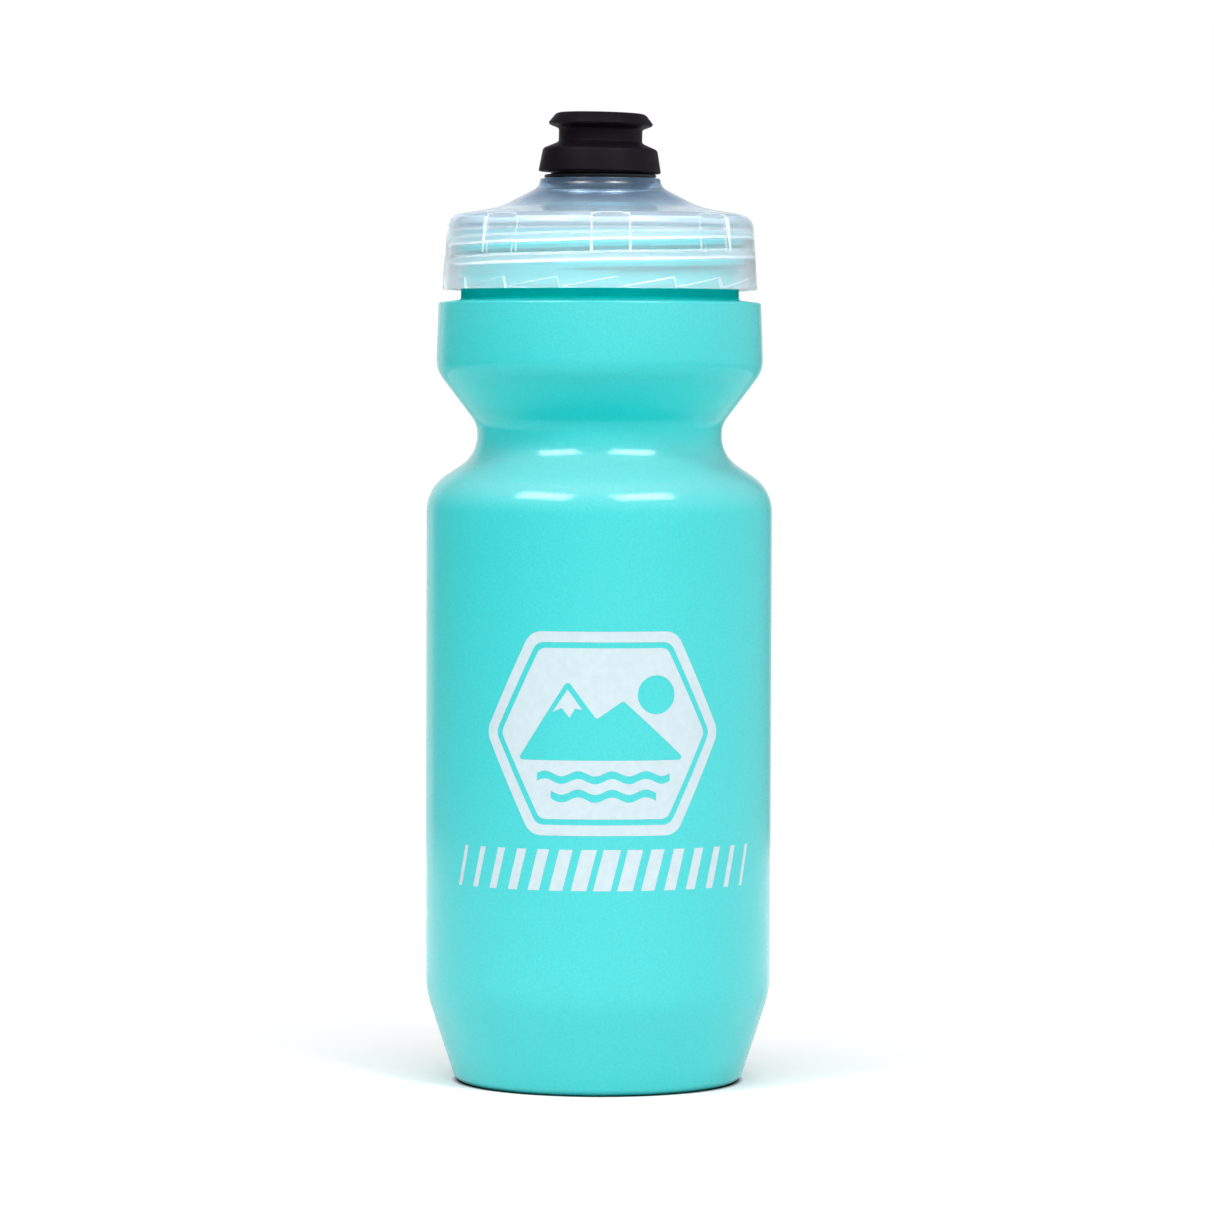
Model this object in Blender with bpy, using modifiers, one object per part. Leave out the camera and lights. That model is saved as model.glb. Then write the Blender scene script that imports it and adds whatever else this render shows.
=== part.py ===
"""Cycling water bottle with a screw cap and a push-pull drinking valve.

Blender 4.5, metres, +Z up. The origin is the centre of the ring that the bottle stands on, and +Z is
the axis of the bottle. Every outline is in millimetres as (radius, height) and is scaled by MM.

Pieces: a blow-moulded squeeze bottle, a translucent screw cap with its sealing ring, and a valve in
the collar of the cap. The valve is a seat with a central plug, a slider that moves up and down in the
seat, a soft mouthpiece moulded over the slider, and an O-ring on each of the seat and the slider.
"""

import math

import bmesh
import bpy
from mathutils import Matrix, Vector

MM = 0.001
GAP = 0.3  # between pieces that touch on the real bottle
ARC_ERROR = 0.12  # how far a fillet's chords may lie from its arc
WIDEST_ARC_STEP = math.radians(90)
TURN_STEPS = 36  # flats round a turned piece
FRONT = math.radians(-90)  # the direction of -Y

# Bottle
BARREL_R = 36.5
BASE_R = 30.12  # where the base plane would meet the tapered foot
FOOT_TOP_Z = 19.3
SHOULDER_Z = 125.2
WAIST_R = 25.8
WAIST_Z = (132.4, 138.8)
UPPER_R = 34.5
UPPER_BOTTOM_Z = 150.3
LEDGE_R = 34.0
LEDGE_Z = 164.4
WALL = 1.2
BASE_WALL = 1.6
# The corners of the inside lie a little up or down the slopes from those of the outside, which keeps
# the wall even.
INNER_FOOT_Z = 19.5
INNER_SHOULDER_Z = 124.6
INNER_WAIST_Z = (131.8, 139.2)
INNER_UPPER_Z = 150.7
INNER_LEDGE_Z = (163.1, 163.5)
PUSH_UP = 3.6  # how far the middle of the base stands above the ground
STAND_R = 24.6  # where the flat ring that the bottle stands on meets the push-up
NECK_R = 29.3
NECK_BORE_R = 27.3
RIM_Z = 180.1

# Screw thread of the neck and cap, six turns to the inch
LEAD = 25.4 / 6
THREAD_ROOT_HALF = 1.15
THREAD_CREST_HALF = 0.45
THREAD_BITE = 0.6  # how deep a thread's foot is sunk into its wall
THREAD_FADE = math.radians(40)
THREAD_TIP = 0.3  # width of the crest where a thread ends, as a share of the full width
THREAD_DIVE = 0.1  # how far below the wall the crest ends
NECK_THREAD_CREST_R = 30.45
NECK_THREAD_Z = (171.5, 178.2)
FRONT_RIDGE_Z = 176.0  # height of the neck thread where it crosses the front, -Y
CAP_THREAD_CREST_R = 29.7
CAP_THREAD_Z = (172.6, 179.1)
THREAD_PLAY = 0.25  # the cap's thread sits this far below the middle of the neck thread's groove

# Cap
CAP_BOTTOM_Z = 167.1
CAP_BOTTOM_R = 33.3
CAP_SHOULDER_R = 32.2
CAP_SHOULDER_Z = 182.6
CAP_BORE_R = 30.85
DECK_Z = 181.75  # underside of the deck, where the sealing ring sits
RELIEF_R = 30.4  # the bore narrows to this above the thread
RELIEF_Z = (179.3, 179.8)
LIP_R = (25.6, 26.5)
LIP_Z = 179.4
CAP_HEM = 0.3  # fillet at the cap's foot and at the top of its collar
COLLAR_R = 12.65
COLLAR_BORE_R = 11.5
COLLAR_BOTTOM_Z = 186.5
COLLAR_TOP_Z = 190.5
FLUTES = 8
FLUTE_TURN = math.radians(4)  # from the front, -Y, to the first flute
FLUTE_WIDTH = 8.4
FLUTE_FOOT = (32.9, 173.0)
FLUTE_HEAD = (30.8, 182.2)
FLUTE_BLOCK = (6.0, 16.0)  # depth and height of the block that cuts a flute
FLUTE_EDGE = 1.3
RAMPS = 16
RAMP_TURN = math.radians(7.5)
RAMP_R = 31.6
RAMP_RISE = 2.2
RAMP_LAND = 0.25  # plain rim left below the ramps
RAMP_DROP = math.radians(0.4)  # turn over which a ramp falls back to the rim
RAMP_STEPS = 4
RAMP_REACH = 1.5  # how far the cutter reaches into the bore

# Sealing ring
RING_R = (26.9, 30.1)
RING_Z = (RIM_Z + GAP, 181.5)

# Valve
SEAT_R = COLLAR_BORE_R - GAP
SEAT_BORE_R = 9.3
SEAT_Z = (184.0, 195.2)
SEAT_FLANGE_R = 11.8
SEAT_FLANGE_Z = (COLLAR_TOP_Z + 0.25, 191.35)
SEAT_TOP_R = 10.4
SEAT_BEAD_R = 12.1
SEAT_STOP_R = 8.8
SEAT_STOP = 0.7  # height of the stop that holds the piston in
SPOKES = 4
SPOKE_WIDTH = 1.8
SPOKE_SUNK = 0.1  # the spokes and hub stay this far inside the foot of the tube
SPOKE_BITE = 0.5
SPIDER_TOP_Z = 185.6
HUB_R = 2.6
HUB_RISE = 0.6
POST_R = 2.0
PLUG_R = 3.7
PLUG_Z = (199.8, 201.6)  # the cone below the plug
PLUG_TOP_Z = 203.9
PISTON_R = SEAT_BORE_R - GAP
PISTON_Z = (186.0, 188.2)
SLIDER_R = SEAT_STOP_R - GAP
SLIDER_BORE_R = 7.3
SLIDER_NECK_R = 7.2
SLIDER_NECK_BORE_R = 6.1
SLIDER_MOUTH_R = 4.5
SLIDER_CREST_R = 8.0
SLIDER_TOP_Z = 202.6
O_RING_HALF = 0.5  # half the thickness of either O-ring
GROOVE_HALF = O_RING_HALF + 0.15
O_RING_FACETS = 8
SEAT_RING = (10.85, 188.7)
SLIDER_RING = (8.65, 187.1)

# Mouthpiece
SKIRT_R = 13.0
SKIRT_BORE_R = 10.9
SKIRT_Z = 191.6
MOUTH_NECK_R = 8.8
LIP_EDGE_R = 11.05
TOP_Z = 204.6
DRINK_HOLE_R = 3.9


def clear_scene():
    for thing in list(bpy.data.objects):
        bpy.data.objects.remove(thing)


def new_collection(name, helper=False):
    collection = bpy.data.collections.new(name)
    bpy.context.scene.collection.children.link(collection)
    collection.hide_render = helper
    return collection


def plastic(name, colour, roughness, transmission=0.0):
    material = bpy.data.materials.new(name)
    material.use_nodes = True
    shader = material.node_tree.nodes["Principled BSDF"]
    shader.inputs["Base Color"].default_value = (*colour, 1.0)
    shader.inputs["Roughness"].default_value = roughness
    shader.inputs["Metallic"].default_value = 0.0
    shader.inputs["Transmission Weight"].default_value = transmission
    return material


def add_object(name, mesh, collection, material=None):
    thing = bpy.data.objects.new(name, mesh)
    collection.objects.link(thing)
    if material:
        mesh.materials.append(material)
    else:
        thing.hide_render = True
        thing.display_type = "WIRE"
    return thing


def rounded(corners, closed=False):
    """The outline through (radius, height, fillet) corners, with an arc at each corner that has a fillet."""
    count = len(corners)
    points = []
    for i, (x, y, fillet) in enumerate(corners):
        here = Vector((x, y))
        if not fillet or (not closed and i in (0, count - 1)):
            points.append(here)
            continue
        back = (Vector(corners[i - 1][:2]) - here).normalized()
        ahead = (Vector(corners[(i + 1) % count][:2]) - here).normalized()
        half = back.angle(ahead) / 2
        centre = here + (back + ahead).normalized() * fillet / math.sin(half)
        first = here + back * fillet / math.tan(half) - centre
        turn = first.angle_signed(here + ahead * fillet / math.tan(half) - centre)
        widest = min(WIDEST_ARC_STEP, 2 * math.acos(1 - ARC_ERROR / max(fillet, ARC_ERROR)))
        steps = max(1, math.ceil(abs(turn) / widest))
        for k in range(steps + 1):
            # angle_signed is clockwise, and Matrix.Rotation turns the other way.
            points.append(centre + Matrix.Rotation(-turn * k / steps, 2) @ first)
    return points


def turned(name, outline, collection, material=None, closed=False):
    """Turns an outline round Z. It runs up the inside and down the outside, so that its faces point out."""
    mesh = bpy.data.meshes.new(name)
    verts = [(p.x * MM, 0.0, p.y * MM) for p in outline]
    edges = [(i, i + 1) for i in range(len(verts) - 1)]
    if closed:
        edges.append((len(verts) - 1, 0))
    mesh.from_pydata(verts, edges, [])
    thing = add_object(name, mesh, collection, material)
    screw = thing.modifiers.new("turn", "SCREW")
    screw.axis = "Z"
    screw.steps = TURN_STEPS
    screw.render_steps = TURN_STEPS
    screw.use_merge_vertices = True
    screw.merge_threshold = 0.00001
    screw.use_smooth_shade = False
    return thing


def boolean(thing, operation, tool):
    modifier = thing.modifiers.new(operation.lower(), "BOOLEAN")
    modifier.operation = operation
    modifier.solver = "EXACT"
    if isinstance(tool, bpy.types.Collection):
        modifier.operand_type = "COLLECTION"
        modifier.collection = tool
    else:
        modifier.object = tool


def ring_of_sections(name, sections, collection, closed):
    """Joins equal-sized sections, each a list of points in order, into one surface."""
    mesh = bpy.data.meshes.new(name)
    form = bmesh.new()
    rings = [[form.verts.new(Vector(p) * MM) for p in section] for section in sections]
    pairs = list(zip(rings, rings[1:]))
    if closed:
        pairs.append((rings[-1], rings[0]))
    else:
        form.faces.new(rings[0])
        form.faces.new(rings[-1])
    for one, two in pairs:
        for k in range(len(one)):
            form.faces.new((one[k - 1], one[k], two[k], two[k - 1]))
    bmesh.ops.recalc_face_normals(form, faces=form.faces)
    form.to_mesh(mesh)
    form.free()
    return add_object(name, mesh, collection)


def thread(name, root_r, crest_r, heights, z_at_front, collection):
    """A helical ridge between two heights. It fades out at both ends."""
    outward = 1 if crest_r > root_r else -1
    start, end = (FRONT + (z - z_at_front) / LEAD * math.tau for z in heights)
    steps = round((end - start) / math.tau * TURN_STEPS)
    foot_r = root_r - outward * THREAD_BITE
    # The flanks run on below the wall at the same slope.
    slope = (THREAD_ROOT_HALF - THREAD_CREST_HALF) / abs(crest_r - root_r)
    sections = []
    for i in range(steps + 1):
        angle = start + (end - start) * i / steps
        z = z_at_front + (angle - FRONT) / math.tau * LEAD
        fade = min(1.0, (angle - start) / THREAD_FADE, (end - angle) / THREAD_FADE)
        crest = root_r + (crest_r - root_r) * fade - outward * THREAD_DIVE * (1 - fade)
        crest_half = THREAD_CREST_HALF * (THREAD_TIP + (1 - THREAD_TIP) * fade)
        foot_half = crest_half + slope * abs(crest - foot_r)
        rim = [(foot_r, -foot_half), (crest, -crest_half), (crest, crest_half), (foot_r, foot_half)]
        sections.append([(r * math.cos(angle), r * math.sin(angle), z + dz) for r, dz in rim])
    return ring_of_sections(name, sections, collection, closed=False)


def ramp_cutter(collection):
    """A ring with a saw-tooth top. It cuts sloping pockets into the foot of the cap's inner wall."""
    inner_r = CAP_BORE_R - RAMP_REACH
    below = CAP_BOTTOM_Z - 1.0
    low = CAP_BOTTOM_Z + RAMP_LAND
    sections = []
    for tooth in range(RAMPS):
        for k in range(RAMP_STEPS + 1):
            angle = RAMP_TURN + math.tau * (tooth + k / RAMP_STEPS) / RAMPS
            if k == RAMP_STEPS:
                angle -= RAMP_DROP
            top = low + RAMP_RISE * k / RAMP_STEPS
            rim = [(inner_r, below), (RAMP_R, below), (RAMP_R, top), (inner_r, top)]
            sections.append([(r * math.cos(angle), r * math.sin(angle), z) for r, z in rim])
    return ring_of_sections("ramp_cutter", sections, collection, closed=True)


def flute_cutters(collection):
    """Rounded blocks that lean in at the top. Each cuts one shallow flute into the shoulder of the cap."""
    depth, height = FLUTE_BLOCK
    foot, head = Vector(FLUTE_FOOT), Vector(FLUTE_HEAD)
    lean = math.atan2(foot.x - head.x, head.y - foot.y)
    middle = (foot + head) / 2 + Vector((math.cos(lean), math.sin(lean))) * depth / 2
    for i in range(FLUTES):
        mesh = bpy.data.meshes.new(f"flute_cutter_{i + 1}")
        form = bmesh.new()
        bmesh.ops.create_cube(form, size=1.0)
        bmesh.ops.scale(form, verts=form.verts, vec=Vector((depth, FLUTE_WIDTH, height)) * MM)
        bmesh.ops.bevel(
            form,
            geom=list(form.edges),
            offset=FLUTE_EDGE * MM,
            segments=2,
            profile=0.5,
            affect="EDGES",
        )
        bmesh.ops.rotate(form, verts=form.verts, cent=(0, 0, 0), matrix=Matrix.Rotation(-lean, 3, "Y"))
        bmesh.ops.translate(form, verts=form.verts, vec=Vector((middle.x, 0, middle.y)) * MM)
        form.to_mesh(mesh)
        form.free()
        cutter = add_object(mesh.name, mesh, collection)
        cutter.rotation_euler.z = FRONT + FLUTE_TURN + math.tau * i / FLUTES


def make_bottle(collection, helpers, material):
    inner_r = BARREL_R - WALL
    outline = rounded(
        [
            (0, PUSH_UP + BASE_WALL, 0),
            (20.4, PUSH_UP + BASE_WALL, 0),
            (24.9, BASE_WALL, 0),
            (BASE_R - WALL, BASE_WALL, 0),
            (inner_r, INNER_FOOT_Z, 0),
            (inner_r, INNER_SHOULDER_Z, 8),
            (WAIST_R - WALL, INNER_WAIST_Z[0], 8.5),
            (WAIST_R - WALL, INNER_WAIST_Z[1], 0),
            (UPPER_R - WALL, INNER_UPPER_Z, 5.5),
            (LEDGE_R - WALL, INNER_LEDGE_Z[0], 0),
            (NECK_BORE_R, INNER_LEDGE_Z[1], 0),
            (NECK_BORE_R, RIM_Z, 0.4),
            (NECK_R, RIM_Z, 0.4),
            (NECK_R, LEDGE_Z + 0.55, 0.6),
            (LEDGE_R, LEDGE_Z, 0.5),
            (UPPER_R, UPPER_BOTTOM_Z, 6.5),
            (WAIST_R, WAIST_Z[1], 5.5),
            (WAIST_R, WAIST_Z[0], 7.5),
            (BARREL_R, SHOULDER_Z, 9),
            (BARREL_R, FOOT_TOP_Z, 18),
            (BASE_R, 0, 2.4),
            (STAND_R, 0, 1),
            (20, PUSH_UP, 4),
            (0, PUSH_UP, 0),
        ]
    )
    bottle = turned("bottle_body", outline, collection, material)
    ridge = thread(
        "neck_thread", NECK_R, NECK_THREAD_CREST_R, NECK_THREAD_Z, FRONT_RIDGE_Z, helpers
    )
    boolean(bottle, "UNION", ridge)


def make_cap(collection, helpers, flute_helpers, material):
    outline = rounded(
        [
            (CAP_BORE_R, CAP_BOTTOM_Z, 0),
            (CAP_BORE_R, RELIEF_Z[0], 0),
            (RELIEF_R, RELIEF_Z[1], 0),
            (RELIEF_R, DECK_Z, 0),
            (LIP_R[1], DECK_Z, 0),
            (LIP_R[1], LIP_Z, 0),
            (LIP_R[0], LIP_Z, 0),
            (LIP_R[0], 182.0, 0),
            (20.6, 182.9, 14),
            (13.2, COLLAR_BOTTOM_Z, 0),
            (COLLAR_BORE_R, COLLAR_BOTTOM_Z, 0),
            (COLLAR_BORE_R, COLLAR_TOP_Z, 0),
            (COLLAR_R, COLLAR_TOP_Z, CAP_HEM),
            (12.95, 188.7, 2.5),
            (21.0, 184.5, 16),
            (CAP_SHOULDER_R, CAP_SHOULDER_Z, 3.2),
            (CAP_BOTTOM_R, CAP_BOTTOM_Z, CAP_HEM),
        ],
        closed=True,
    )
    cap = turned("cap_shell", outline, collection, material, closed=True)
    ridge = thread(
        "cap_thread",
        CAP_BORE_R,
        CAP_THREAD_CREST_R,
        CAP_THREAD_Z,
        FRONT_RIDGE_Z - LEAD / 2 - THREAD_PLAY,
        helpers,
    )
    boolean(cap, "UNION", ridge)
    boolean(cap, "DIFFERENCE", ramp_cutter(helpers))
    flute_cutters(flute_helpers)
    boolean(cap, "DIFFERENCE", flute_helpers)


def make_sealing_ring(collection, material):
    corners = [
        (RING_R[0], RING_Z[0], 0),
        (RING_R[0], RING_Z[1], 0),
        (RING_R[1], RING_Z[1], 0),
        (RING_R[1], RING_Z[0], 0),
    ]
    turned("cap_gasket", rounded(corners, closed=True), collection, material, closed=True)


def make_seat(collection, helpers, material):
    """The seat is a tube with a flange that rests on the collar and a bead that snaps in below it."""
    ring_r, ring_z = SEAT_RING
    stop_z = SEAT_Z[1] - SEAT_STOP
    bead_z = COLLAR_BOTTOM_Z - GAP
    tube = rounded(
        [
            (SEAT_BORE_R, SEAT_Z[0], 0),
            (SEAT_BORE_R, stop_z, 0),
            (SEAT_STOP_R, stop_z, 0),
            (SEAT_STOP_R, SEAT_Z[1], 0),
            (SEAT_TOP_R, SEAT_Z[1], 0.3),
            (SEAT_TOP_R, SEAT_FLANGE_Z[1], 0),
            (SEAT_FLANGE_R, SEAT_FLANGE_Z[1], 0),
            (SEAT_FLANGE_R, SEAT_FLANGE_Z[0], 0),
            (SEAT_R, SEAT_FLANGE_Z[0], 0),
            (SEAT_R, ring_z + GROOVE_HALF, 0),
            (ring_r - GROOVE_HALF, ring_z + GROOVE_HALF, 0),
            (ring_r - GROOVE_HALF, ring_z - GROOVE_HALF, 0),
            (SEAT_R, ring_z - GROOVE_HALF, 0),
            (SEAT_R, bead_z, 0),
            (SEAT_BEAD_R, bead_z, 0),
            (SEAT_R - GAP, SEAT_Z[0], 0),
        ],
        closed=True,
    )
    seat = turned("valve_seat", tube, collection, material, closed=True)
    hub_z = SEAT_Z[0] + SPOKE_SUNK
    spider = rounded(
        [
            (0, PLUG_TOP_Z, 0),
            (PLUG_R, PLUG_TOP_Z, 0.8),
            (PLUG_R, PLUG_Z[1], 0),
            (POST_R, PLUG_Z[0], 0.6),
            (POST_R, SPIDER_TOP_Z + HUB_RISE, 0),
            (HUB_R, SPIDER_TOP_Z, 0),
            (HUB_R, hub_z, 0),
            (0, hub_z, 0),
        ]
    )
    post = turned("plug_post", spider, helpers)
    boolean(seat, "UNION", post)
    bars = SPOKES // 2
    for i in range(bars):
        mesh = bpy.data.meshes.new(f"spoke_{i + 1}")
        form = bmesh.new()
        bmesh.ops.create_cube(form, size=1.0)
        length = 2 * (SEAT_BORE_R + SPOKE_BITE)
        spoke = Vector((length, SPOKE_WIDTH, SPIDER_TOP_Z - SEAT_Z[0] - 2 * SPOKE_SUNK))
        bmesh.ops.scale(form, verts=form.verts, vec=spoke * MM)
        form.to_mesh(mesh)
        form.free()
        bar = add_object(mesh.name, mesh, helpers)
        bar.location.z = (SPIDER_TOP_Z + SEAT_Z[0]) / 2 * MM
        bar.rotation_euler.z = math.pi * (i + 0.5) / bars
        boolean(seat, "UNION", bar)


def make_slider(collection, material):
    """A stepped tube. Its piston carries the O-ring, and its narrow neck holds the mouthpiece."""
    ring_r, ring_z = SLIDER_RING
    outline = rounded(
        [
            (SLIDER_BORE_R, PISTON_Z[0], 0),
            (SLIDER_BORE_R, 195.4, 0),
            (SLIDER_NECK_BORE_R, 196.8, 0),
            (SLIDER_NECK_BORE_R, 201.6, 0),
            (SLIDER_MOUTH_R, 201.6, 0),
            (SLIDER_MOUTH_R, SLIDER_TOP_Z, 0),
            (SLIDER_CREST_R, SLIDER_TOP_Z, 0),
            (SLIDER_CREST_R, 201.7, 0),
            (SLIDER_NECK_R, 201.4, 0),
            (SLIDER_NECK_R, 197.2, 0),
            (SLIDER_R, 195.9, 0),
            (SLIDER_R, PISTON_Z[1], 0),
            (PISTON_R, PISTON_Z[1], 0),
            (PISTON_R, ring_z + GROOVE_HALF, 0),
            (ring_r - GROOVE_HALF, ring_z + GROOVE_HALF, 0),
            (ring_r - GROOVE_HALF, ring_z - GROOVE_HALF, 0),
            (PISTON_R, ring_z - GROOVE_HALF, 0),
            (PISTON_R, PISTON_Z[0], 0),
        ],
        closed=True,
    )
    turned("nozzle_slider", outline, collection, material, closed=True)


def make_mouthpiece(collection, material):
    outline = rounded(
        [
            (SKIRT_BORE_R, SKIRT_Z, 0),
            (SKIRT_BORE_R, 195.0, 0),
            (SLIDER_R + GAP, 195.6, 0),
            (SLIDER_R + GAP, 196.1, 0),
            (SLIDER_NECK_R + GAP, 197.4, 0),
            (SLIDER_NECK_R + GAP, 201.2, 0),
            (SLIDER_CREST_R + GAP, 201.5, 0),
            (SLIDER_CREST_R + GAP, SLIDER_TOP_Z + GAP, 0),
            (DRINK_HOLE_R, SLIDER_TOP_Z + GAP, 0),
            (DRINK_HOLE_R, 204.1, 0.5),
            (9.3, TOP_Z, 1.6),
            (LIP_EDGE_R, 202.2, 0.25),
            (MOUTH_NECK_R, 201.1, 0.5),
            (MOUTH_NECK_R, 197.9, 0.6),
            (12.0, 196.7, 1.2),
            (SKIRT_R, SKIRT_Z, 0.3),
        ],
        closed=True,
    )
    turned("mouthpiece", outline, collection, material, closed=True)


def make_o_ring(name, centre, collection, material):
    radius, height = centre
    mesh = bpy.data.meshes.new(name)
    thing = add_object(name, mesh, collection, material)
    form = bmesh.new()
    section = bmesh.ops.create_circle(form, segments=O_RING_FACETS, radius=O_RING_HALF * MM)["verts"]
    upright = Matrix.Rotation(math.radians(90), 3, "X")
    bmesh.ops.rotate(form, verts=section, cent=(0, 0, 0), matrix=upright)
    bmesh.ops.translate(form, verts=section, vec=Vector((radius, 0, 0)) * MM)
    form.to_mesh(mesh)
    form.free()
    thing.location.z = height * MM
    screw = thing.modifiers.new("turn", "SCREW")
    screw.axis = "Z"
    screw.steps = TURN_STEPS
    screw.render_steps = TURN_STEPS
    screw.use_smooth_shade = True


def main():
    clear_scene()
    parts = new_collection("water_bottle")
    helpers = new_collection("cutters", helper=True)
    flute_helpers = new_collection("flute_cutters", helper=True)
    squeeze_plastic = plastic("bottle_plastic", (0.09, 0.72, 0.67), 0.35)
    cap_plastic = plastic("cap_plastic", (0.75, 0.90, 0.93), 0.30, transmission=0.6)
    soft_black = plastic("mouthpiece_rubber", (0.015, 0.013, 0.016), 0.60)
    hard_black = plastic("valve_plastic", (0.012, 0.012, 0.014), 0.40)
    seal_rubber = plastic("seal_rubber", (0.70, 0.74, 0.74), 0.45)
    ring_rubber = plastic("o_ring_rubber", (0.02, 0.02, 0.02), 0.50)
    make_bottle(parts, helpers, squeeze_plastic)
    make_cap(parts, helpers, flute_helpers, cap_plastic)
    make_sealing_ring(parts, seal_rubber)
    make_seat(parts, helpers, hard_black)
    make_slider(parts, hard_black)
    make_mouthpiece(parts, soft_black)
    make_o_ring("seat_o_ring", SEAT_RING, parts, ring_rubber)
    make_o_ring("slider_o_ring", SLIDER_RING, parts, ring_rubber)


main()
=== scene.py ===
"""Looks of the cycling water bottle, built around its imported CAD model.

Every turned piece is a surface of finely sampled outlines round Z, in millimetres as
(radius, height) or, before its corners are rounded, as (radius, height, fillet). The threads, the
cap's flutes and ramps and the bottle's mould seams change the outline with the angle.
"""

import math

import bmesh
import bpy
from mathutils import Matrix, Vector


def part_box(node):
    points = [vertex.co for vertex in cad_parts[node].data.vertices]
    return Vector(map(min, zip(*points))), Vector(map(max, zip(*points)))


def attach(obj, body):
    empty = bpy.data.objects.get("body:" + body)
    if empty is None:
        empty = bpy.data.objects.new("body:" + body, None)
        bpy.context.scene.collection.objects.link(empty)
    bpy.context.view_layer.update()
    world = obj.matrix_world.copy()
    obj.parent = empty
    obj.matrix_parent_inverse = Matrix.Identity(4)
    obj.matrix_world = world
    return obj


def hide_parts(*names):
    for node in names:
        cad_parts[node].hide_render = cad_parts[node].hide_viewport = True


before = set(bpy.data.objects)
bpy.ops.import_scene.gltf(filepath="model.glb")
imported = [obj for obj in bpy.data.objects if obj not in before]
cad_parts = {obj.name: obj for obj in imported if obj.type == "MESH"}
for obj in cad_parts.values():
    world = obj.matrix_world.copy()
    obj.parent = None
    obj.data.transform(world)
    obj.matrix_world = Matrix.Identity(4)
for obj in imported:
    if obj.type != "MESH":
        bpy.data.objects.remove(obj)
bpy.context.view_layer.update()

MM = 0.001


def low(node):
    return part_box(node)[0].z / MM


def high(node):
    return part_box(node)[1].z / MM


def outer_radius(node):
    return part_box(node)[1].x / MM


# Sizes that the CAD model gives
INK = 0.04
BARREL_R = outer_radius("bottle_body") - INK
RIM_Z = high("bottle_body")
CAP_BOTTOM_Z = low("cap_shell")
COLLAR_TOP_Z = high("cap_shell")
CAP_BOTTOM_R = outer_radius("cap_shell") - 0.02
RING_Z = (low("cap_gasket"), high("cap_gasket"))
SEAT_BOTTOM_Z = low("valve_seat")
PLUG_TOP_Z = high("valve_seat")
SLIDER_BOTTOM_Z = low("nozzle_slider")
SKIRT_Z = low("mouthpiece")
TOP_Z = high("mouthpiece")

# Sizes that the CAD model shares with this script
WALL = 1.2
WAIST_R = 25.8
UPPER_R = 34.5
NECK_R = 29.3
NECK_BORE_R = 27.3
CAP_BORE_R = 30.85
COLLAR_BORE_R = 11.5
SEAT_BORE_R = 9.3
LEAD = 25.4 / 6
NECK_THREAD_Z = (171.5, 178.2)
FRONT_RIDGE_Z = 176.0  # height of the neck thread where it crosses the front
CAP_THREAD_Z = (172.6, 179.1)
CAP_RIDGE_Z = FRONT_RIDGE_Z - LEAD / 2 - 0.25  # the cap's thread, with its play below the neck's
THREAD_DEPTH = 1.15
FLUTES = 8
FLUTE_TURN = math.radians(4)
RAMPS = 16
RAMP_TURN = math.radians(7.5)
RAMP_R = 31.6
RAMP_RISE = 2.2

FRONT = math.radians(-90)
STEPS = 224
FLOOR_R = 0.6
ARC_STEP = math.radians(7)


def smooth(t):
    """A smooth step from 0 at t = 0 to 1 at t = 1."""
    t = min(max(t, 0.0), 1.0)
    return t * t * (3 - 2 * t)


def soft_excess(x, width):
    """x where it is positive and 0 elsewhere, with the corner rounded over a width."""
    if x > width:
        return x
    if x < -width:
        return 0.0
    return (x + width) ** 2 / (4 * width)


def rounded(corners, closed=False):
    """The outline through (radius, height, fillet) corners, with an arc at each corner that has a fillet."""
    count = len(corners)
    points = []
    for i, (x, y, fillet) in enumerate(corners):
        here = Vector((x, y))
        if not fillet or (not closed and i in (0, count - 1)):
            points.append(here)
            continue
        back = (Vector(corners[i - 1][:2]) - here).normalized()
        ahead = (Vector(corners[(i + 1) % count][:2]) - here).normalized()
        half = back.angle(ahead) / 2
        centre = here + (back + ahead).normalized() * fillet / math.sin(half)
        first = here + back * fillet / math.tan(half) - centre
        turn = first.angle_signed(here + ahead * fillet / math.tan(half) - centre)
        steps = max(2, math.ceil(abs(turn) / ARC_STEP))
        for k in range(steps + 1):
            # angle_signed is clockwise, and Matrix.Rotation turns the other way.
            points.append(centre + Matrix.Rotation(-turn * k / steps, 2) @ first)
    return [(p.x, p.y) for p in points]


def refined(outline, step):
    """The open outline with no stretch longer than a step."""
    points = []
    for (x0, y0), (x1, y1) in zip(outline, outline[1:]):
        cuts = max(1, math.ceil(math.hypot(x1 - x0, y1 - y0) / step))
        points += [(x0 + (x1 - x0) * k / cuts, y0 + (y1 - y0) * k / cuts) for k in range(cuts)]
    return points + [outline[-1]]


def even_angles(steps=STEPS):
    return [math.tau * i / steps for i in range(steps)]


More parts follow.
